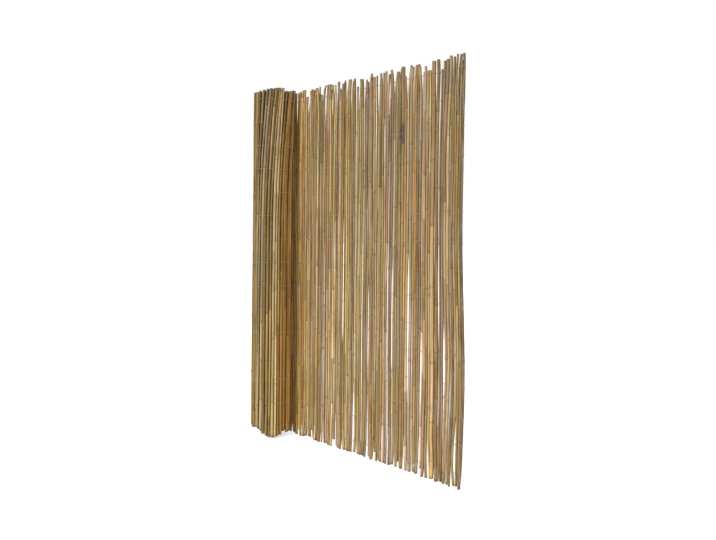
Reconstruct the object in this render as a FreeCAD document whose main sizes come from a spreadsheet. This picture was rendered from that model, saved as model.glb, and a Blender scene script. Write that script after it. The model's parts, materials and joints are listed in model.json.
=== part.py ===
import FreeCAD, Part
import math
import os
import random

# Bamboo fence panel: a mat of bamboo canes tied in rows with galvanised wire. It stands on its cane
# ends with one end still rolled up. Millimetres, +Z up. The unrolled sheet runs along +X to its free
# edge, its front faces -Y and the roll stands in front of its left end. The origin is on the ground
# in the middle of the footprint.

doc = FreeCAD.newDocument("bamboo_fence_panel")

# Driving sizes
sizes = doc.addObject("Spreadsheet::Sheet", "Sizes")
driving = (
    ("mat_height", "1500"),
    ("thinnest_cane", "7.6"),
    ("thickest_cane", "14.4"),
    ("cane_taper", "1.4"),
    ("cane_gap", "1.75"),
    ("cane_lean", "1.8"),
    ("slit_width", "3.5"),
    ("ragged_end", "16"),
    ("unrolled_canes", "83"),
    ("twinned_ties", "29"),
    ("core_diameter", "44"),
    ("roll_diameter", "180"),
    ("roll_bite", "0.4"),
    ("wire_diameter", "1.2"),
    ("wire_margin", "50"),
    ("wire_spacing", "100"),
    ("wire_tail", "6"),
    ("seat_clearance", "0.2"),
)
for row, (alias, value) in enumerate(driving, start=1):
    sizes.set(f"A{row}", alias)
    sizes.set(f"B{row}", value)
    sizes.setAlias(f"B{row}", alias)
doc.recompute()

mat_height = float(sizes.mat_height)
thinnest = float(sizes.thinnest_cane)
thickest = float(sizes.thickest_cane)
cane_gap = float(sizes.cane_gap)
cane_lean = float(sizes.cane_lean)
slit_width = float(sizes.slit_width)
ragged_end = float(sizes.ragged_end)
unrolled_canes = int(sizes.unrolled_canes)
twinned_ties = int(sizes.twinned_ties)
core_diameter = float(sizes.core_diameter)
roll_diameter = float(sizes.roll_diameter)
roll_bite = float(sizes.roll_bite)
wire_diameter = float(sizes.wire_diameter)
wire_margin = float(sizes.wire_margin)
wire_spacing = float(sizes.wire_spacing)
wire_tail = float(sizes.wire_tail)
seat_clearance = float(sizes.seat_clearance)

# Canes grow unevenly: each has its own thickness, cut and lean, drawn from a seeded source for the canes
# in the roll and another for those of the sheet
roll_nature = random.Random(31)
sheet_nature = random.Random(12)


def grown_grade(nature):
    # 0 is the thinnest cane and 1 the thickest, most lie in between
    return round((nature.random() + nature.random()) / 2, 3)


def foot_share(nature):
    # how far a cane's foot falls short of the ground, a third of them stand on it
    return round(max(0.0, nature.random() * 1.5 - 0.5), 4)


def head_share(nature):
    # how far a cane's head falls short of the mat's top edge
    return round(nature.random(), 4)


def butt_radius(grade):
    return (thinnest + (thickest - thinnest) * grade) / 2


def butt_formula(grade):
    return f"(Sizes.thinnest_cane + (Sizes.thickest_cane - Sizes.thinnest_cane) * {grade}) / 2"


# The roll. Canes in it are octagonal, with the section area of a round cane. The innermost turn closes
# round the open core, then each cane is laid on the turn beneath, so the turns press on each other.
# They stand as far apart as in the sheet, so none can fall into the gaps of the turn beneath.
octagon = 8
inscribed = math.sqrt(math.pi / (octagon * math.tan(math.pi / octagon)))
circumscribed = inscribed / math.cos(math.pi / octagon)
rolled = []
turned = 0.0


def width_across():
    # the roll's width from its last cane to the cane half a turn before
    last = rolled[-1]
    opposite = min(rolled, key=lambda cane: abs(last["turned"] - math.pi - cane["turned"]))
    return last["reach"] + last["radius"] + opposite["reach"] + opposite["radius"]


while not rolled or width_across() < roll_diameter:
    grade = grown_grade(roll_nature)
    radius = butt_radius(grade) * inscribed
    if rolled:
        before = rolled[-1]
        apart = radius + before["radius"] - roll_bite
        if turned > 2 * math.pi:
            apart += roll_bite + cane_gap * (0.5 + roll_nature.random())
        turned += 2 * math.asin(min(1.0, apart / (2 * before["reach"])))
    reach = core_diameter / 2 + radius
    for other in rolled:
        aside = other["reach"] * math.sin(turned - other["turned"])
        touching = radius + other["radius"] - roll_bite
        if abs(aside) < touching and turned - other["turned"] > math.pi:
            along = other["reach"] * math.cos(turned - other["turned"])
            reach = max(reach, along + math.sqrt(touching ** 2 - aside ** 2))
    rolled.append({"grade": grade, "radius": radius, "reach": reach, "turned": turned,
                   "foot": foot_share(roll_nature), "head": head_share(roll_nature)})

# The sheet leaves the roll behind its last cane, so the roll's axis is in front of the sheet. The roll
# stands on its inner turns, the outer two are drawn up a little.
leaving = rolled[-1]
axis_y = thickest / 2 - leaving["radius"] - leaving["reach"]
corners = []
for cane in rolled:
    if leaving["turned"] - cane["turned"] < 4 * math.pi:
        cane["foot"] = round(0.5 + cane["foot"] / 2, 4)
    cane["angle"] = math.pi / 2 + leaving["turned"] - cane["turned"]
    cane["x"] = cane["reach"] * math.cos(cane["angle"])
    cane["y"] = axis_y + cane["reach"] * math.sin(cane["angle"])
    for corner in range(octagon):
        around = cane["angle"] + (corner + 0.5) * 2 * math.pi / octagon
        far = cane["radius"] / inscribed * circumscribed
        corners.append((cane["x"] + far * math.cos(around), cane["y"] + far * math.sin(around)))

# The unrolled canes, from the roll to the free edge. Each tie holds one cane, or two thin ones side by
# side. A cane lies against the front or the back strands of the ties, and its neighbour stands clear of
# it at both ends whatever the two lean. One stout cane near the free edge bears on both. The ties have
# slackened at a few places along the sheet, where a wider slit shows through.
slack_at = [0.346, 0.411, 0.543, 0.620, 0.720, 0.869, 0.924]
places = unrolled_canes - twinned_ties
stout = int(0.87 * places)
single = {0, 1, 2, stout, places - 1}
twinned = sheet_nature.sample([place for place in range(places) if place not in single], twinned_ties)
tied_canes = []
previous = {"x": 0.0, "radius": leaving["radius"] / inscribed, "lean": 0.0}
for place in range(places):
    last = place == places - 1
    lean = 0.0 if last else round(sheet_nature.uniform(-1.0, 1.0), 3)
    side = 1 if place < 3 or sheet_nature.random() < 0.5 else -1
    gap = cane_gap * (0.5 + sheet_nature.random()) + cane_lean * abs(lean - previous["lean"])
    if slack_at and place / places > slack_at[0]:
        gap += slit_width
        slack_at.pop(0)
    tied = []
    for beside in range(2 if place in twinned else 1):
        grade = 0.35 if last else grown_grade(sheet_nature)
        if place == stout:
            grade = 1.0
        if place in twinned:
            grade = round(grade / 2, 3)
        radius = butt_radius(grade)
        y = side * (thickest / 2 - radius)
        x = previous["x"] + previous["radius"] + (seat_clearance if beside else gap) + radius
        for cane in rolled:
            clear = radius + cane["radius"] / inscribed * circumscribed + cane_lean + seat_clearance
            if abs(y - cane["y"]) < clear:
                x = max(x, cane["x"] + math.sqrt(clear ** 2 - (y - cane["y"]) ** 2))
        previous = {"grade": grade, "lean": lean, "radius": radius, "x": x, "y": y,
                    "foot": 0.0 if last else foot_share(sheet_nature),
                    "head": 0.0 if last else head_share(sheet_nature)}
        tied.append(previous)
    tied_canes.append(tied)

# The ties: in each row a front and a back strand hold the canes between them. The back strand runs on
# over the roll's last cane and lies taut round the roll's outer turn. The front strand starts where the
# roll has curved out of its way.
strand_y = thickest / 2 + seat_clearance + wire_diameter / 2
free_edge = previous["x"] + previous["radius"] + wire_tail
curve = roll_diameter / 2
drop = min(curve, strand_y + wire_diameter + seat_clearance + thickest / 2)
front_start = math.sqrt(curve ** 2 - (curve - drop) ** 2)
bends = 16
wrapped = math.radians(318)
lines = [(math.pi / 2, strand_y - wire_diameter / 2)]
for bend in range(1, bends + 1):
    facing = math.pi / 2 + wrapped * bend / bends
    taut = max(x * math.cos(facing) + y * math.sin(facing) for x, y in corners)
    lines.append((facing, taut + seat_clearance))


def crossing(one, two, outward):
    a, p = one
    b, q = two
    p += outward
    q += outward
    turn = math.sin(b - a)
    return ((p * math.sin(b) - q * math.sin(a)) / turn, (q * math.cos(a) - p * math.cos(b)) / turn)


inner_side = [(free_edge, strand_y - wire_diameter / 2)]
outer_side = [(free_edge, strand_y + wire_diameter / 2)]
for one, two in zip(lines, lines[1:]):
    inner_side.append(crossing(one, two, 0.0))
    outer_side.append(crossing(one, two, wire_diameter))
stop = (lines[-1][0] + math.pi / 2, 0.0)
end_line = (stop[0], inner_side[-1][0] * math.cos(stop[0]) + inner_side[-1][1] * math.sin(stop[0]) + thinnest)
inner_side.append(crossing(lines[-1], end_line, 0.0))
outer_side.append((inner_side[-1][0] + wire_diameter * math.cos(lines[-1][0]),
                   inner_side[-1][1] + wire_diameter * math.sin(lines[-1][0])))
back_outline = inner_side + outer_side[::-1]
front_outline = [(free_edge, -strand_y + wire_diameter / 2), (front_start, -strand_y + wire_diameter / 2),
                 (front_start, -strand_y - wire_diameter / 2), (free_edge, -strand_y - wire_diameter / 2)]

# The origin goes to the middle of the footprint
footprint = corners + back_outline + front_outline
middle_x = (min(x for x, y in footprint) + max(x for x, y in footprint)) / 2
middle_y = (min(y for x, y in footprint) + max(y for x, y in footprint)) / 2
sub_parts = []

# The rolled canes
prisms = []
for number, cane in enumerate(rolled, start=1):
    prism = doc.addObject("Part::Prism", f"rolled_cane_{number:03d}")
    prism.Polygon = octagon
    prism.setExpression("Circumradius", f"{butt_formula(cane['grade'])} * {circumscribed:.6f}")
    prism.setExpression("Height", f"Sizes.mat_height - Sizes.ragged_end * {cane['foot'] + cane['head']:.4f}")
    place = FreeCAD.Vector(cane["x"] - middle_x, cane["y"] - middle_y, ragged_end * cane["foot"])
    flat_outward = FreeCAD.Rotation(FreeCAD.Vector(0, 0, 1), math.degrees(cane["angle"]) + 180 / octagon)
    prism.Placement = FreeCAD.Placement(place, flat_outward)
    prisms.append(prism)
roll = doc.addObject("Part::MultiFuse", "rolled_canes")
roll.Label = "rolled_canes"
roll.Shapes = prisms
sub_parts.append(roll)

# The unrolled canes, numbered by their ties from the free edge: each is lofted from its cut foot to its
# cut head, every second one with its thick end up
butts_up = 0
for number, tied in enumerate(reversed(tied_canes), start=1):
    label = f"cane_{number:02d}"
    lofts = []
    for cane in tied:
        name = label if len(tied) == 1 else f"{label}_{'ab'[len(lofts)]}"
        ends = []
        for end, share, height in (("foot", -1, ragged_end * cane["foot"]),
                                   ("head", 1, mat_height - ragged_end * cane["head"])):
            cut = doc.addObject("Part::RegularPolygon", f"{name}_{end}")
            cut.Polygon = 10
            thick = (end == "foot") == (butts_up % 2 == 0)
            taper = "" if thick else " - Sizes.cane_taper / 2"
            cut.setExpression("Circumradius", butt_formula(cane["grade"]) + taper)
            across = cane["x"] - middle_x + share * cane_lean * cane["lean"]
            cut.Placement.Base = FreeCAD.Vector(across, cane["y"] - middle_y, height)
            ends.append(cut)
        butts_up += 1
        loft = doc.addObject("Part::Loft", name)
        loft.Sections = ends
        loft.Solid = True
        loft.Ruled = True
        lofts.append(loft)
    if len(lofts) == 1:
        piece = lofts[0]
    else:
        piece = doc.addObject("Part::Compound", label)
        piece.Links = lofts
    piece.Label = label
    sub_parts.append(piece)

# The tie wires
strands = []
rows = int((mat_height - 2 * wire_margin) / wire_spacing + 1e-6) + 1
for row in range(rows):
    height = wire_margin + wire_spacing * row - wire_diameter / 2
    for name, outline in (("front", front_outline), ("back", back_outline)):
        polygon = doc.addObject("Part::Polygon", f"{name}_outline_{row + 1:02d}")
        polygon.Nodes = [FreeCAD.Vector(x - middle_x, y - middle_y, height) for x, y in outline]
        polygon.Close = True
        strand = doc.addObject("Part::Extrusion", f"{name}_strand_{row + 1:02d}")
        strand.Base = polygon
        strand.DirMode = "Custom"
        strand.Dir = FreeCAD.Vector(0, 0, 1)
        strand.setExpression("LengthFwd", "Sizes.wire_diameter")
        strand.Solid = True
        strands.append(strand)
ties = doc.addObject("Part::Compound", "tie_wires")
ties.Label = "tie_wires"
ties.Links = strands
sub_parts.append(ties)
doc.recompute()

for thing in doc.Objects:
    if "Invalid" in thing.State or "Error" in thing.State:
        raise RuntimeError(f"{thing.Label} did not recompute: {thing.State}")
for part in sub_parts:
    if part.Shape.isNull() or not part.Shape.isValid() or not part.Shape.Solids:
        raise RuntimeError(f"{part.Label} has no valid solid")
if len(roll.Shape.Solids) != 1:
    raise RuntimeError(f"the roll is {len(roll.Shape.Solids)} solids, not one")

os.makedirs("parts", exist_ok=True)
for part in sub_parts:
    part.Shape.exportStep(f"parts/{part.Label}.step")
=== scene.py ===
import json
import math
import random

import bmesh
import bpy
from mathutils import Matrix, Vector


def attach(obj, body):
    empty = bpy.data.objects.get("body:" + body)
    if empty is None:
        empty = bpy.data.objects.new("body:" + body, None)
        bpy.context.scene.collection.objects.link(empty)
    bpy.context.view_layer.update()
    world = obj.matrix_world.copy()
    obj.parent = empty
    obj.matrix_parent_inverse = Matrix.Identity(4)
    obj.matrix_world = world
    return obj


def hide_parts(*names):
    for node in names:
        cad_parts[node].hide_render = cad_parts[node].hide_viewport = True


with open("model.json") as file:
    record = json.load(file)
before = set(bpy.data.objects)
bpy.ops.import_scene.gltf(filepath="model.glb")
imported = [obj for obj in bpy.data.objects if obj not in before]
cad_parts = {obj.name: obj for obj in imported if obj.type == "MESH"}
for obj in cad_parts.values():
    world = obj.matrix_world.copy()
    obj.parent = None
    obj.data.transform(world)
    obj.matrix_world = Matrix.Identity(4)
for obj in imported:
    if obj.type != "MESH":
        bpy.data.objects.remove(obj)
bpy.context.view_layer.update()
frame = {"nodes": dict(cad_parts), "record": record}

# Canes of the unrolled sheet. Each is a thin bamboo culm, cut to the mat's height, a little crooked from
# knuckle to knuckle and hollow between them. The skins are left raw and have dried to khaki, straw,
# olive, brown and grey.
cane_nature = random.Random(5)
cane_sides = 10
knuckle_reach = (0.150, 0.290)
stub_share = 0.16
drift_step = 0.05
drift_stops = 31
skin_tones = (
    (5, (165, 136, 82)),
    (4, (196, 168, 126)),
    (2, (184, 130, 70)),
    (3, (174, 154, 142)),
    (5, (150, 136, 68)),
    (2, (118, 88, 46)),
    (2, (158, 112, 72)),
)
# tones for canes in the roll's shade: browner skins, with that shade painted in as darker tones
shaded_lee_tones = (
    (4, (150, 116, 50)),
    (4, (146, 122, 52)),
    (3, (152, 106, 48)),
    (4, (102, 70, 28)),
    (3, (178, 148, 92)),
)


def dried_tone(nature, tones):
    spread = [tone for weight, tone in tones for _ in range(weight)]
    return Vector(nature.choice(spread)).lerp(Vector(nature.choice(spread)), nature.uniform(0.0, 0.3))


def dried_tint(tone, shade):
    tint = []
    for channel in tone:
        share = min(1.0, channel * shade / 255)
        tint.append(share / 12.92 if share < 0.04045 else ((share + 0.055) / 1.055) ** 2.4)
    return (*tint, 1.0)


def plan_culm(foot, head, foot_radius, head_radius, nature, crook, faces, sways=(), drift=(), plain=False):
    length = head.z - foot.z
    knuckles = []
    height = length if plain else nature.uniform(0.03, 0.24)
    while height < length - 0.03:
        knuckles.append(height)
        height += nature.uniform(*knuckle_reach)
    stops = [0.0] + knuckles + [length]
    kinks = [Vector((nature.uniform(-1, 1), nature.uniform(-1, 1), 0)) * crook for _ in stops]
    return {
        "foot": foot,
        "head": head,
        "foot_radius": foot_radius,
        "head_radius": head_radius,
        "length": length,
        "knuckles": knuckles,
        "stops": stops,
        "kinks": kinks,
        "faces": faces,
        "sways": sways,
        "drift": drift,
    }


def culm_axis(plan, at):
    # the middle of the culm at this height over its foot
    stops = plan["stops"]
    at = min(max(at, 0.0), plan["length"])
    span = next(i for i in range(len(stops) - 1) if at <= stops[i + 1])
    share = (at - stops[span]) / (stops[span + 1] - stops[span])
    middle = plan["foot"].lerp(plan["head"], at / plan["length"])
    middle += plan["kinks"][span].lerp(plan["kinks"][span + 1], share * share * (3 - 2 * share))
    for push, start, end in plan["sways"]:
        share = min(max((at + plan["foot"].z - start) / (end - start), 0.0), 1.0)
        middle += push * share * share
    if plan["drift"]:
        step = min(max(middle.z / drift_step, 0.0), len(plan["drift"]) - 1.001)
        below, above = plan["drift"][int(step)], plan["drift"][int(step) + 1]
        middle.x += below + (above - below) * (step - int(step))
    return middle


def culm_radius(plan, at):
    return plan["foot_radius"] + (plan["head_radius"] - plan["foot_radius"]) * at / plan["length"]


def grow_culm(plan, nature, tones, shades, flank_shades, stained=None):
    bm = bmesh.new()
    tints = bm.verts.layers.float_color.new("tint")
    marks = bm.verts.layers.float_color.new("marks")
    stains = bm.verts.layers.float.new("stain")
    length = plan["length"]
    # the outline from the hollow in the foot to the hollow in the head: share of the radius, height, and
    # the marks scar, bloom, darkened cut and hollow, the last being painted shade inside the hollow
    outline = [
        (0.0, 0.024, (0, 0, 0, 1)),
        (0.40, 0.024, (0, 0, 0, 1)),
        (0.46, 0.001, (0, 0, 0.7, 0.6)),
        (0.90, 0.0, (0, 0, 1, 0)),
        (1.0, 0.0012, (0, 0, 0.9, 0)),
        (1.0, 0.012, (0, 0, 0, 0)),
    ]
    bends = [push_at for _, start, end in plan["sways"] for push_at in
             (start + (end - start) * share - plan["foot"].z for share in (0.0, 0.25, 0.5, 0.75))]
    for knuckle in plan["knuckles"]:
        swell = nature.uniform(0.7, 1.3)
        outline += [
            (1.0, knuckle - 0.014, (0, 0.2, 0, 0)),
            (1.0 + 0.02 * swell, knuckle - 0.0035, (0, 1, 0, 0)),
            (1.0 + 0.07 * swell, knuckle - 0.0008, (0.7, 0.3, 0, 0)),
            (1.0 + 0.08 * swell, knuckle + 0.0004, (1, 0, 0, 0)),
            (1.0 + 0.03 * swell, knuckle + 0.0018, (0.9, 0, 0, 0)),
            (1.0 + 0.06 * swell, knuckle + 0.0060, (0.15, 0, 0, 0)),
            (1.0, knuckle + 0.0150, (0, 0, 0, 0)),
        ]
    bends += [drift_step * step - plan["foot"].z for step in range(1, len(plan["drift"]) - 1)]
    if stained:
        low, high = stained
        bends += [at - plan["foot"].z for at in (low, low + 0.006, high - 0.01, high)]
    for bend in bends:
        if 0.01 < bend < length - 0.01 and all(abs(bend - knuckle) > 0.016 for knuckle in plan["knuckles"]):
            outline.append((1.0, bend, (0, 0, 0, 0)))
    outline = outline[:6] + sorted(outline[6:], key=lambda step: step[1])
    outline += [(share, length - at, mark) for share, at, mark in reversed(outline[:6])]
    tone = dried_tone(nature, tones)
    shade = nature.uniform(*shades)
    between = []
    for _ in plan["stops"]:
        part = tone.lerp(dried_tone(nature, tones), nature.uniform(0.0, 0.65))
        between.append(dried_tint(part, shade * nature.uniform(0.88, 1.10)))
    profile = []
    for share, at, mark in outline:
        vert = bm.verts.new((share * culm_radius(plan, at), 0, at))
        vert[tints] = between[sum(knuckle < at for knuckle in plan["knuckles"])]
        vert[marks] = mark
        vert[stains] = 1.0 if stained and stained[0] < at + plan["foot"].z < stained[1] else 0.0
        profile.append(vert)
    edges = [bm.edges.new(pair) for pair in zip(profile, profile[1:])]
    full_turn = 2 * math.pi
    bmesh.ops.spin(
        bm, geom=profile + edges, axis=(0, 0, 1), angle=full_turn, steps=cane_sides, use_merge=True
    )
    # a little out of round, then set on the culm's own crooked axis
    # painted shade: the tint darkens towards each culm's flanks, where it faces its neighbours, standing in
    # for the shade in the gaps between canes
    flank_shade = nature.uniform(*flank_shades)
    squeeze = Matrix.Rotation(nature.uniform(0, math.pi), 2)
    oval = nature.uniform(0.0, 0.05)
    middles = {}
    for vert in bm.verts:
        at = round(vert.co.z, 7)
        if at not in middles:
            middles[at] = culm_axis(plan, at)
        if vert.co.xy.length > 1e-4:
            turned = abs(vert.co.xy.normalized() @ plan["faces"])
            shade = flank_shade + (1 - flank_shade) * min(1.0, turned / 0.75)
            red, green, blue, _ = vert[tints]
            vert[tints] = (red * shade, green * shade ** 1.2, blue * shade ** 2, 1.0)
        around = squeeze @ vert.co.xy
        around = squeeze.transposed() @ Vector((around.x * (1 + oval), around.y * (1 - oval)))
        vert.co = middles[at] + Vector((around.x, around.y, 0))
    bmesh.ops.remove_doubles(bm, verts=bm.verts, dist=1e-6)
    # here and there the stub of a trimmed side branch stands over a knuckle
    for knuckle in plan["knuckles"]:
        if nature.random() < stub_share:
            turn = math.atan2(plan["faces"].y, plan["faces"].x) + nature.uniform(-0.9, 0.9)
            radius = culm_radius(plan, knuckle)
            stub = Matrix.Translation(culm_axis(plan, knuckle + 0.004)) @ Matrix.Rotation(turn, 4, "Z")
            stub @= Matrix.Translation((radius * 1.2, 0, 0.001)) @ Matrix.Rotation(math.radians(42), 4, "Y")
            made = bmesh.ops.create_cone(
                bm,
                cap_ends=True,
                segments=6,
                radius1=radius * 0.34,
                radius2=radius * 0.22,
                depth=nature.uniform(0.004, 0.008),
                matrix=stub,
            )
            for vert in made["verts"]:
                vert[tints] = between[0]
                vert[marks] = (0.9, 0, 0, 0)
    bmesh.ops.recalc_face_normals(bm, faces=bm.faces)
    for face in bm.faces:
        face.smooth = True
    mesh = bpy.data.meshes.new("culm")
    bm.to_mesh(mesh)
    bm.free()
    return mesh


def lay_culm(mesh, name, skin):
    mesh.name = name
    mesh.set_sharp_from_angle(angle=math.radians(55))
    mesh.materials.append(skin)
    piece = bpy.data.objects.new(name, mesh)
    bpy.context.collection.objects.link(piece)
    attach(piece, "root")
    return piece


# Dried bamboo skin, for every cane: fibres along the culm, paler and greyer weathered patches, mould
# specks, a dark scar and a pale bloom at each knuckle, darkened cuts, painted shade in the hollows, and
# painted shade that darkens the skins towards the top
culm_group = bpy.data.node_groups.new("culm_skin", "ShaderNodeTree")
for socket, kind, into in (
    ("Weathered", "NodeSocketFloat", "INPUT"),
    ("Color", "NodeSocketColor", "OUTPUT"),
    ("Roughness", "NodeSocketFloat", "OUTPUT"),
    ("Height", "NodeSocketFloat", "OUTPUT"),
):
    culm_group.interface.new_socket(socket, in_out=into, socket_type=kind)
group_in = culm_group.nodes.new("NodeGroupInput")
group_out = culm_group.nodes.new("NodeGroupOutput")
link = culm_group.links.new
place = culm_group.nodes.new("ShaderNodeTexCoord")


def culm_noise(stretch, detail, rough=0.6):
    mapping = culm_group.nodes.new("ShaderNodeMapping")
    mapping.inputs["Scale"].default_value = stretch
    link(place.outputs["Object"], mapping.inputs["Vector"])
    noise = culm_group.nodes.new("ShaderNodeTexNoise")
    noise.inputs["Scale"].default_value = 1.0
    noise.inputs["Detail"].default_value = detail
    noise.inputs["Roughness"].default_value = rough
    link(mapping.outputs["Vector"], noise.inputs["Vector"])
    return noise.outputs["Fac"]


def culm_range(value, low, high, to_low, to_high):
    ramp = culm_group.nodes.new("ShaderNodeMapRange")
    ramp.inputs["From Min"].default_value = low
    ramp.inputs["From Max"].default_value = high
    ramp.inputs["To Min"].default_value = to_low
    ramp.inputs["To Max"].default_value = to_high
    link(value, ramp.inputs["Value"])
    return ramp.outputs["Result"]


def culm_mix(below, above, share, blend="MIX"):
    mix = culm_group.nodes.new("ShaderNodeMix")
    mix.data_type = "RGBA"
    mix.blend_type = blend
    for value, socket in ((share, mix.inputs[0]), (below, mix.inputs[6]), (above, mix.inputs[7])):
        if isinstance(value, (int, float, tuple)):
            socket.default_value = value
        else:
            link(value, socket)
    return mix.outputs[2]


def culm_math(operation, first, second):
    step = culm_group.nodes.new("ShaderNodeMath")
    step.operation = operation
    for value, socket in ((first, step.inputs[0]), (second, step.inputs[1])):
        if isinstance(value, (int, float)):
            socket.default_value = value
        else:
            link(value, socket)
    return step.outputs[0]


tint_in = culm_group.nodes.new("ShaderNodeAttribute")
tint_in.attribute_name = "tint"
marks_in = culm_group.nodes.new("ShaderNodeAttribute")
marks_in.attribute_name = "marks"
stain_in = culm_group.nodes.new("ShaderNodeAttribute")
stain_in.attribute_name = "stain"
marks_split = culm_group.nodes.new("ShaderNodeSeparateColor")
link(marks_in.outputs["Color"], marks_split.inputs["Color"])
fibres = culm_noise((1400, 1400, 9), 3.0)
streaks = culm_noise((330, 330, 2.6), 4.0)
patches = culm_noise((70, 70, 7), 5.0, 0.65)
specks = culm_noise((900, 900, 260), 2.0, 0.5)
fibre_tone = culm_range(fibres, 0.3, 0.7, 0.86, 1.12)
streak_tone = culm_range(streaks, 0.3, 0.7, 0.46, 1.48)
place_split = culm_group.nodes.new("ShaderNodeSeparateXYZ")
link(place.outputs["Object"], place_split.inputs["Vector"])
# painted light and shade: the skins are lighter near the floor and darker towards the heads, standing in for
# light thrown back from the floor
painted_height_shade = culm_range(place_split.outputs["Z"], 0.1, 1.5, 1.11, 0.81)
tone = culm_math("MULTIPLY", culm_math("MULTIPLY", fibre_tone, streak_tone), painted_height_shade)
tone_color = culm_group.nodes.new("ShaderNodeCombineColor")
for channel in ("Red", "Green", "Blue"):
    link(tone, tone_color.inputs[channel])
skin_color = culm_mix(tint_in.outputs["Color"], tone_color.outputs["Color"], 1.0, "MULTIPLY")
pale_share = culm_range(culm_noise((420, 420, 5), 2.0), 0.54, 0.68, 0.0, 0.5)
pale_share = culm_math("MULTIPLY", pale_share, culm_math("MULTIPLY", group_in.outputs["Weathered"], 2.2))
skin_color = culm_mix(skin_color, (0.46, 0.38, 0.31, 1), pale_share)
rust_share = culm_range(culm_noise((260, 260, 7), 3.0), 0.56, 0.7, 0.0, 0.55)
skin_color = culm_mix(skin_color, (0.36, 0.19, 0.06, 1), rust_share)
grey_share = culm_math("MULTIPLY", culm_range(patches, 0.5, 0.68, 0.0, 1.0), group_in.outputs["Weathered"])
skin_color = culm_mix(skin_color, (0.28, 0.23, 0.165, 1), grey_share)
brown_share = culm_range(patches, 0.44, 0.3, 0.0, 0.75)
skin_color = culm_mix(skin_color, (0.15, 0.08, 0.03, 1), brown_share)
skin_color = culm_mix(skin_color, (0.045, 0.03, 0.018, 1), culm_range(specks, 0.66, 0.74, 0.0, 0.6))
bloom = ("Green", (0.46, 0.40, 0.30, 1), 0.1)
scar = ("Red", (0.12, 0.065, 0.03, 1), 0.5)
# the cut end faces are darkened towards grey brown
darkened_cut = ("Blue", (0.14, 0.10, 0.065, 1), 0.7)
for channel, mark_color, strongest in (bloom, scar, darkened_cut):
    mark_share = culm_math("MULTIPLY", marks_split.outputs[channel], strongest)
    skin_color = culm_mix(skin_color, mark_color, mark_share)
# painted shade: the inside of each hollow is painted nearly black
skin_color = culm_mix(skin_color, (0.03, 0.018, 0.01, 1), marks_in.outputs["Alpha"])
stain_share = culm_math("MULTIPLY", stain_in.outputs["Fac"], culm_range(streaks, 0.25, 0.6, 0.55, 0.95))
skin_color = culm_mix(skin_color, (0.075, 0.05, 0.055, 1), stain_share)
link(skin_color, group_out.inputs["Color"])
link(culm_range(streaks, 0.3, 0.7, 0.38, 0.62), group_out.inputs["Roughness"])
relief = culm_math("ADD", culm_math("MULTIPLY", fibres, 0.35), culm_math("MULTIPLY", patches, 0.65))
link(relief, group_out.inputs["Height"])


def bamboo(name, weathered, bump):
    skin = bpy.data.materials.new(name)
    skin.use_nodes = True
    nodes = skin.node_tree.nodes
    links = skin.node_tree.links
    shader = nodes["Principled BSDF"]
    shader.inputs["Specular IOR Level"].default_value = 0.16
    group = nodes.new("ShaderNodeGroup")
    group.node_tree = culm_group
    group.inputs["Weathered"].default_value = weathered
    relief_bump = nodes.new("ShaderNodeBump")
    relief_bump.inputs["Strength"].default_value = bump
    relief_bump.inputs["Distance"].default_value = 0.0006
    links.new(group.outputs["Color"], shader.inputs["Base Color"])
    links.new(group.outputs["Roughness"], shader.inputs["Roughness"])
    links.new(group.outputs["Height"], relief_bump.inputs["Height"])
    links.new(relief_bump.outputs["Normal"], shader.inputs["Normal"])
    return skin


sheet_skin = bamboo("dried_bamboo", weathered=0.36, bump=0.35)
stained_at = Vector((0.2390, 1.25))
# slits stand open where canes part: at the loose heads, at the feet, and here and there between them, mostly
# towards the free edge. Each kind has a count, its reach along the sheet, and ranges for the lowest point,
# the length and the width
slit_nature = random.Random(4)
slit_kinds = (
    (12, (-0.43, 0.52), (1.36, 1.45), (0.20, 0.20), (0.007, 0.011)),
    (8, (-0.14, 0.53), (-0.05, -0.05), (0.14, 0.26), (0.007, 0.010)),
    (9, (-0.10, 0.54), (0.20, 1.05), (0.18, 0.48), (0.005, 0.0068)),
)
open_slits = []
for count, (left_end, right_end), lows, lengths, widths in slit_kinds:
    for number in range(count):
        place_along = left_end + (right_end - left_end) * (number + slit_nature.uniform(0.1, 0.9)) / count
        low = slit_nature.uniform(*lows)
        high = low + slit_nature.uniform(*lengths)
        open_slits.append((place_along, low, high, slit_nature.uniform(*widths)))
skin_swell = 1.06
sheet_ends = []
for node in sorted(name for name in frame["nodes"] if name.startswith("cane_")):
    solids = bmesh.new()
    solids.from_mesh(frame["nodes"][node].data)
    bmesh.ops.remove_doubles(solids, verts=solids.verts, dist=1e-6)
    waiting = set(solids.verts)
    culms = []
    for first in solids.verts:
        if first not in waiting:
            continue
        waiting.remove(first)
        island = [first]
        for vert in island:
            beyond = [edge.other_vert(vert) for edge in vert.link_edges]
            island += [other for other in beyond if other in waiting]
            waiting.difference_update(beyond)
        ends = []
        for height in (min(v.co.z for v in island), max(v.co.z for v in island)):
            xs = [v.co.x for v in island if abs(v.co.z - height) < 1e-4]
            ys = [v.co.y for v in island if abs(v.co.z - height) < 1e-4]
            centre = Vector(((min(xs) + max(xs)) / 2, (min(ys) + max(ys)) / 2, height))
            ends.append((centre, (max(xs) - min(xs)) / 2 * skin_swell))
        culms.append((*ends[0], *ends[1]))
    solids.free()
    culms.sort(key=lambda culm: culm[0].x, reverse=True)
    sheet_ends.append((node, culms))


def middle_reach(culm, side):
    # how far out along the sheet this culm's flank lies at half height
    return (culm[0].x + culm[2].x) / 2 + side * (culm[1] + culm[3]) / 2


def eased(share):
    share = min(max(share, 0.0), 1.0)
    return share * share * (3 - 2 * share)


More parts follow.
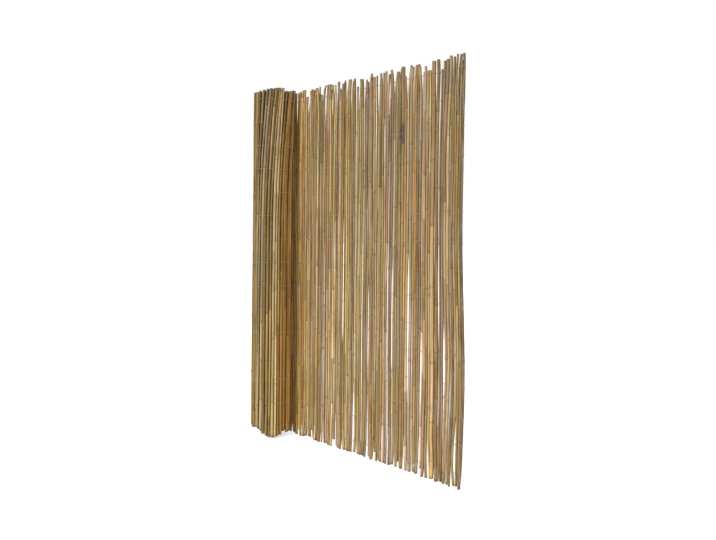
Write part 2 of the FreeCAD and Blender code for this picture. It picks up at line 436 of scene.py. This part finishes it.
# the canes drift along the sheet over their height: where a slit opens, the canes on both sides close up
in_order = [culm for _, culms in sheet_ends for culm in culms]
drawn_gaps = [middle_reach(one, -1) - middle_reach(other, 1) for one, other in zip(in_order, in_order[1:])]
usual_gaps = []
ahead = 0.0
for number, drawn in enumerate(drawn_gaps):
    nearby = drawn_gaps[max(number - 3, 0):number + 4]
    in_front = in_order[number][0].y - in_order[number + 1][0].y
    usual = sum(nearby) / len(nearby) * cane_nature.uniform(0.75, 1.25) - 0.95 * in_front + 0.35 * ahead
    widest = 0.31 * (in_order[number][1] + in_order[number + 1][1])
    usual_gaps.append(min(max(usual, 0.0001), widest))
    ahead += drawn - usual_gaps[-1]
spread = sum(drawn_gaps) / sum(usual_gaps)
drifts = [[] for _ in in_order]
for step in range(drift_stops):
    spare = [gap * spread for gap in usual_gaps]
    opened = [0.0] * len(spare)
    for place_along, low, high, width in open_slits:
        ramp = min(0.16, 0.8 * (high - low))
        share = eased((drift_step * step - low) / ramp + 0.5) * eased((high - drift_step * step) / ramp + 0.5)
        slit = min(range(len(spare)), key=lambda gap: abs(middle_reach(in_order[gap], -1) - place_along))
        nearby = [gap for gap in range(len(spare)) if 0 < abs(gap - slit) < 8]
        room = sum(spare[gap] for gap in nearby)
        taken = min(width * share, 0.85 * room)
        for gap in nearby:
            spare[gap] *= 1 - taken / room
        opened[slit] += taken
    moved = 0.0
    for number, drift in enumerate(drifts):
        drift.append(moved)
        if number < len(spare):
            moved += drawn_gaps[number] - spare[number] - opened[number]
# the free edge bows out over its lower half: height, and how far the edge cane stands out there
edge_bow = ((0.0, 0.0033), (0.37, 0.0125), (0.92, -0.0033), (1.22, 0.0), (1.5, 0.0058))
bowed_canes = 20
for step in range(drift_stops):
    height = drift_step * step
    spans = zip(edge_bow, edge_bow[1:])
    (low, near), (high, far) = next(span for span in spans if height <= span[1][0] + 1e-9)
    bow = near + (far - near) * eased((height - low) / (high - low))
    for number in range(bowed_canes):
        drifts[number][step] += bow * (1 - number / bowed_canes)

# heads and feet aren't cut quite level, apart from those at the free edge, and the tips stand loose
free_edge = 0.53
loose_reach = (0.011, 0.007)
toe_reach = 0.006
low_heads = (1.458, 1.482)
raised_feet = (0.020, 0.038)
sheet_crook = 0.0007
tied = []
drifts = iter(drifts)
for node, culms in sheet_ends:
    plans = []
    for foot, foot_radius, head, head_radius in culms:
        loose_tip = loose_reach[0] if foot.x < 0.2 else loose_reach[1]
        tip = Vector((cane_nature.uniform(-1, 1), cane_nature.uniform(-1, 1), 0)) * loose_tip
        toe = Vector((cane_nature.uniform(-1, 1), cane_nature.uniform(-1, 1), 0)) * toe_reach
        sways = ((tip, 1.37, 1.5), (toe, 0.10, 0.0))
        foot = Vector((foot.x, foot.y, foot.z * 0.45))
        head = head.copy()
        if foot.x < free_edge and cane_nature.random() < (0.12 if foot.x < -0.25 else 0.25):
            head.z = cane_nature.uniform(*low_heads)
        if foot.x < free_edge and cane_nature.random() < 0.15:
            foot.z = cane_nature.uniform(*raised_feet)
        ends = (foot, head, foot_radius, head_radius)
        plans.append(plan_culm(*ends, cane_nature, sheet_crook, Vector((0, 1)), sways, next(drifts)))
    tied.append((node, plans))
all_plans = [plan for _, plans in tied for plan in plans]
skin_nature = random.Random(21)
edge_tones = ((1, (136, 112, 80)),)
# the canes next to the roll are browner and carry the roll's shade as painted shade in darker tones, and
# those after them vary more
lee_end = -0.35
varied_end = -0.15
# painted shade between the sheet's canes: range of the darkest share of the tint at the flanks
sheet_flank_shades = (0.2, 0.55)
stained_plans = sorted(all_plans, key=lambda plan: abs(plan["foot"].x - stained_at.x))[:2]
for node, plans in tied:
    bundle = bmesh.new()
    for plan in plans:
        stained = None
        if plan in stained_plans:
            reach = 0.042 if plan is stained_plans[0] else 0.026
            stained = (stained_at.y - reach, stained_at.y + reach)
        tones, shades = skin_tones, (0.78, 1.15)
        if plan is all_plans[0]:
            tones = edge_tones
        elif plan["foot"].x < lee_end:
            tones, shades = shaded_lee_tones, (0.95, 1.30)
        elif plan["foot"].x < varied_end:
            shades = (0.68, 1.24)
        culm = grow_culm(plan, skin_nature, tones, shades, sheet_flank_shades, stained)
        bundle.from_mesh(culm)
        bpy.data.meshes.remove(culm)
    mesh = bpy.data.meshes.new("culm")
    bundle.to_mesh(mesh)
    bundle.free()
    piece = lay_culm(mesh, node + "_culm", sheet_skin)
    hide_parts(node)

# Canes still in the roll: the same culms, wound up on each other with the mat's ties and standing on their
# cut ends. Each one is set where the roll's solid has its cut head.
roll_nature = random.Random(11)
roll_tones = (
    (6, (164, 139, 88)),
    (4, (190, 167, 124)),
    (2, (164, 116, 58)),
    (3, (158, 139, 110)),
    (5, (146, 132, 66)),
    (3, (108, 80, 38)),
)
roll_skin = bamboo("rolled_bamboo", weathered=0.12, bump=0.35)
core = frame["record"]["physics"]["openings"][0]["box_m"]
roll_axis = (Vector(core[0]) + Vector(core[1])).xy / 2
roll_mesh = bmesh.new()
roll_mesh.from_mesh(frame["nodes"]["rolled_canes"].data)
bmesh.ops.remove_doubles(roll_mesh, verts=roll_mesh.verts, dist=1e-6)


def cut_ends(facing):
    flat = [face for face in roll_mesh.faces if face.normal.z * facing > 0.99]
    waiting = set(flat)
    ends = []
    for first in flat:
        if first not in waiting:
            continue
        waiting.remove(first)
        patch = [first]
        height = first.calc_center_median().z
        for face in patch:
            for edge in face.edges:
                for beside in edge.link_faces:
                    if beside in waiting and abs(beside.calc_center_median().z - height) < 1e-5:
                        waiting.remove(beside)
                        patch.append(beside)
        area = sum(face.calc_area() for face in patch)
        centre = sum((face.calc_center_median() * face.calc_area() for face in patch), Vector()) / area
        ends.append((centre, math.sqrt(area / math.pi)))
    return ends


feet = cut_ends(-1)
rolled_canes = []
for head, radius in cut_ends(1):
    near = [foot for foot, _ in feet if (foot.xy - head.xy).length < 0.0015]
    rolled_canes.append((Vector((head.x, head.y, near[0].z if near else 0.0)), head, radius))
roll_mesh.free()
# near the top the front of the roll has slipped round to the right, so its canes slant there
slipped = math.radians(26)
right = Vector((0.6626, 0.749))
roll_crook = 0.0009
# painted shade between the roll's canes: range of the darkest share of the tint at the flanks
roll_flank_shades = (0.1, 0.4)
bulge_reach = 0.013
lee_side = 0.03
outer_canes = 0.062
plain_canes = 0.052
shaded_inner_turns = 0.071
left_drawn_up = 0.032
right_drawn_up = 0.014
roll_plans = []
for foot, head, radius in rolled_canes:
    off = head.xy - roll_axis
    at = math.degrees(math.atan2(off.y, off.x))
    loose = min(max((at + 145) / 80, 0.0), 1.0) * min(max((85 - at) / 75, 0.0), 1.0)
    loose = loose * loose * (3 - 2 * loose) * min(max((off.length - 0.035) / 0.03, 0.0), 1.0)
    slip = Matrix.Rotation(slipped * loose, 2) @ off - off
    bulge = right * bulge_reach * min(max((off @ right - lee_side) / 0.03, 0.0), 1.0)
    bulge = bulge * min(max((75 - at) / 25, 0.0), 1.0)
    sways = [(Vector((slip.x, slip.y, 0)), 0.85, 1.5), (Vector((bulge.x, bulge.y, 0)), 0.95, 1.5)]
    if off.length > outer_canes:
        # the outer canes don't stand quite true, and lean a little over their neighbours
        round_roll = Vector((-off.y, off.x, 0)).normalized()
        sways.append((round_roll * roll_nature.uniform(-0.006, 0.006), 0.75, 1.5))
        sways.append((round_roll * roll_nature.uniform(-0.006, 0.006), 0.75, 0.0))
    across = off @ right
    drawn_up = left_drawn_up * eased(-across / 0.045)
    drawn_up += right_drawn_up * eased((across - 0.01) / 0.035) * eased((0.085 - across) / 0.02)
    foot = foot + Vector((0, 0, drawn_up))
    head = head - Vector((0, 0, 0.011 * eased(-across / 0.07)))
    # one cane in five is slimmer than its place, and leaves a dark crack beside it
    slim = 0.78 if roll_nature.random() < 0.2 else 1.0
    ends = (foot, head, radius * slim * 1.03, radius * slim * roll_nature.uniform(0.88, 1.02))
    inner = off.length < plain_canes
    roll_plans.append(plan_culm(*ends, roll_nature, roll_crook, off.normalized(), sways, plain=inner))
bundle = bmesh.new()
for plan in roll_plans:
    # the side in the lee of the sheet is browner and carries painted shade in darker tones, and the inner
    # turns are given painted shade where they show through cracks
    off = plan["foot"].xy - roll_axis
    tones = shaded_lee_tones if off @ right > lee_side else roll_tones
    # painted shade: canes of the inner turns are darkened to stand for the shade seen through the cracks
    # between outer canes
    shades = (0.50, 0.70) if off.length < shaded_inner_turns else (0.82, 1.16)
    culm = grow_culm(plan, roll_nature, tones, shades, roll_flank_shades)
    bundle.from_mesh(culm)
    bpy.data.meshes.remove(culm)
rolled = bpy.data.meshes.new("rolled_culms")
bundle.to_mesh(rolled)
bundle.free()
piece = lay_culm(rolled, "rolled_culms", roll_skin)
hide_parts("rolled_canes")

# Tie wires: two strands of thin galvanised wire in each row, crossing between one cane and the next, so
# that each cane is held between them. They run on round the outer turn of the roll.
wire_diameter = 0.0011
wire_tail = 0.006
wire_rows = [0.05 + 0.1 * row for row in range(15)]
galvanised = bpy.data.materials.new("galvanised_wire")
galvanised.use_nodes = True
wire_nodes = galvanised.node_tree.nodes
wire_links = galvanised.node_tree.links
wire_shader = wire_nodes["Principled BSDF"]
wire_shader.inputs["Metallic"].default_value = 0.85
wire_place = wire_nodes.new("ShaderNodeTexCoord")
wire_noise = wire_nodes.new("ShaderNodeTexNoise")
wire_noise.inputs["Scale"].default_value = 140.0
wire_noise.inputs["Detail"].default_value = 3.0
wire_ramp = wire_nodes.new("ShaderNodeValToRGB")
wire_ramp.color_ramp.elements[0].position = 0.38
wire_ramp.color_ramp.elements[0].color = (0.24, 0.18, 0.11, 1)
wire_ramp.color_ramp.elements[1].position = 0.58
wire_ramp.color_ramp.elements[1].color = (0.42, 0.38, 0.31, 1)
wire_dull = wire_nodes.new("ShaderNodeMapRange")
wire_dull.inputs["To Min"].default_value = 0.6
wire_dull.inputs["To Max"].default_value = 0.35
wire_links.new(wire_place.outputs["Object"], wire_noise.inputs["Vector"])
wire_links.new(wire_noise.outputs["Fac"], wire_ramp.inputs["Fac"])
wire_links.new(wire_noise.outputs["Fac"], wire_dull.inputs["Value"])
wire_links.new(wire_ramp.outputs["Color"], wire_shader.inputs["Base Color"])
wire_links.new(wire_dull.outputs["Result"], wire_shader.inputs["Roughness"])

# the canes in the order in which the ties pass them, each with the way out of the mat's back
passed = [(plans, Vector((0, 1, 0))) for _, plans in tied]


def bearing(place):
    return math.atan2(place.y - roll_axis.y, place.x - roll_axis.x)


outer_turn = []
for plan in roll_plans:
    reach = (plan["head"].xy - roll_axis).length
    covered = False
    for other in roll_plans:
        apart = (bearing(other["head"]) - bearing(plan["head"]) + math.pi) % (2 * math.pi) - math.pi
        if (other["head"].xy - roll_axis).length > reach + 0.005 and abs(apart) < math.radians(6.5):
            covered = True
    if not covered:
        outer_turn.append(plan)
leaving = max(outer_turn, key=lambda plan: plan["head"].y)
outer_turn.sort(key=lambda plan: (bearing(plan["head"]) - bearing(leaving["head"])) % (2 * math.pi))
for plan in outer_turn:
    out = plan["head"].xy - roll_axis
    passed.append(([plan], Vector((out.x, out.y, 0)).normalized()))

for number, height in enumerate(wire_rows, start=1):
    curve = bpy.data.curves.new("tie_run", "CURVE")
    curve.dimensions = "3D"
    curve.bevel_depth = wire_diameter / 2
    curve.bevel_resolution = 1
    curve.resolution_u = 2
    curve.use_fill_caps = True
    held = []
    for plans, out in passed:
        here = []
        for plan in plans:
            at = height - plan["foot"].z
            here.append((culm_axis(plan, at), culm_radius(plan, at)))
        held.append((here, out))
    for first_side in (1, -1):
        edge, edge_radius = held[0][0][0]
        tail = Vector((edge.x + edge_radius + wire_tail, edge.y, height))
        run = [tail + Vector((0, first_side * wire_diameter / 2, 0)),
               tail + Vector((-0.003, 0, first_side * wire_diameter / 2))]
        for i, (here, out) in enumerate(held):
            side = first_side * (1 if i % 2 == 0 else -1)
            along = out.cross(Vector((0, 0, 1))) * -1
            for place, radius in here:
                standing = out * side * (radius + wire_diameter * 0.6)
                run.append(place + standing - along * radius * 0.6)
                run.append(place + standing + along * radius * 0.6)
            if i + 1 < len(held):
                beyond, beyond_radius = held[i + 1][0][0]
                apart = (beyond - place).length
                cross = place.lerp(beyond, (radius + (apart - radius - beyond_radius) / 2) / apart)
                run.append(cross + Vector((0, 0, side * wire_diameter * 0.55)))
        spline = curve.splines.new("NURBS")
        spline.points.add(len(run) - 1)
        for point, co in zip(spline.points, run):
            point.co = (*co, 1)
        spline.order_u = 3
        spline.use_endpoint_u = True
    holder = bpy.data.objects.new("tie_run", curve)
    bpy.context.collection.objects.link(holder)
    mesh = bpy.data.meshes.new_from_object(holder.evaluated_get(bpy.context.evaluated_depsgraph_get()))
    bpy.data.objects.remove(holder)
    mesh.name = f"tie_{number:02d}"
    mesh.materials.clear()
    mesh.materials.append(galvanised)
    tie = bpy.data.objects.new(f"tie_{number:02d}", mesh)
    bpy.context.collection.objects.link(tie)
    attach(tie, "root")
    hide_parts("tie_wires")

# Floor: a plain white studio floor that runs on into a white background and takes the shadow
floor_mesh = bpy.data.meshes.new("studio_floor")
floor_shape = bmesh.new()
bmesh.ops.create_grid(floor_shape, x_segments=1, y_segments=1, size=60)
floor_shape.to_mesh(floor_mesh)
floor_shape.free()
floor = bpy.data.objects.new("studio_floor", floor_mesh)
bpy.context.collection.objects.link(floor)
white_floor = bpy.data.materials.new("white_floor")
white_floor.use_nodes = True
floor_shader = white_floor.node_tree.nodes["Principled BSDF"]
floor_shader.inputs["Base Color"].default_value = (0.72, 0.72, 0.72, 1)
floor_shader.inputs["Roughness"].default_value = 0.9
floor_shader.inputs["Specular IOR Level"].default_value = 0.0
floor_shader.inputs["Emission Color"].default_value = (1, 1, 1, 1)
floor_path = white_floor.node_tree.nodes.new("ShaderNodeLightPath")
floor_glow = white_floor.node_tree.nodes.new("ShaderNodeMath")
floor_glow.operation = "MULTIPLY"
floor_glow.inputs[1].default_value = 0.6
white_floor.node_tree.links.new(floor_path.outputs["Is Camera Ray"], floor_glow.inputs[0])
white_floor.node_tree.links.new(floor_glow.outputs[0], floor_shader.inputs["Emission Strength"])
floor_mesh.materials.append(white_floor)

# Light: a white surround, a wide soft lamp in front and above, and weaker ones from the right and behind
world = bpy.data.worlds.new("white_surround")
bpy.context.scene.world = world
world.use_nodes = True
sky_nodes = world.node_tree.nodes
sky_links = world.node_tree.links
sky = sky_nodes["Background"]
sky.inputs["Color"].default_value = (1, 1, 1, 1)
light_path = sky_nodes.new("ShaderNodeLightPath")
seen = sky_nodes.new("ShaderNodeMath")
seen.operation = "MAXIMUM"
seen_too = sky_nodes.new("ShaderNodeMath")
seen_too.operation = "MAXIMUM"
sky_links.new(light_path.outputs["Is Camera Ray"], seen.inputs[0])
sky_links.new(light_path.outputs["Is Glossy Ray"], seen.inputs[1])
sky_links.new(seen.outputs[0], seen_too.inputs[0])
sky_links.new(light_path.outputs["Is Transmission Ray"], seen_too.inputs[1])
strength = sky_nodes.new("ShaderNodeMapRange")
strength.inputs["To Min"].default_value = 0.45
strength.inputs["To Max"].default_value = 1.0
sky_links.new(seen_too.outputs[0], strength.inputs["Value"])
sky_links.new(strength.outputs["Result"], sky.inputs["Strength"])
for lamp_name, power, towards in (
    ("key_lamp", 2.5, (-0.1, 0.9, -0.65)),
    ("fill_lamp", 1.55, (-0.9, 0.35, -0.3)),
    ("back_lamp", 0.8, (0.1, -0.9, -0.6)),
):
    lamp = bpy.data.lights.new(lamp_name, "SUN")
    lamp.energy = power
    lamp.angle = math.radians(35)
    lamp_holder = bpy.data.objects.new(lamp_name, lamp)
    lamp_holder.rotation_euler = Vector(towards).to_track_quat("-Z", "Y").to_euler()
    bpy.context.collection.objects.link(lamp_holder)

# Camera: at the free edge's side of the sheet, a little over half its height, looking along towards the roll
camera_place = (2.2325, -1.8929, 0.867)
camera_tilt = math.radians(0.55)
film_width = 36.0
photo_width_px = 716
focal_px = 750
horizon_px = -34
camera_data = bpy.data.cameras.new("photo_camera")
camera_data.sensor_width = film_width
camera_data.lens = film_width * focal_px / photo_width_px
camera = bpy.data.objects.new("photo_camera", camera_data)
bpy.context.collection.objects.link(camera)
camera_data.shift_y = horizon_px / photo_width_px
heading = math.atan2(right.x, -right.y)
camera.matrix_world = (
    Matrix.Translation(camera_place)
    @ Matrix.Rotation(heading - math.pi / 2, 4, "Z")
    @ Matrix.Rotation(math.pi / 2, 4, "X")
    @ Matrix.Rotation(camera_tilt, 4, "Z")
)
bpy.context.scene.camera = camera
bpy.context.scene.view_settings.view_transform = "Standard"
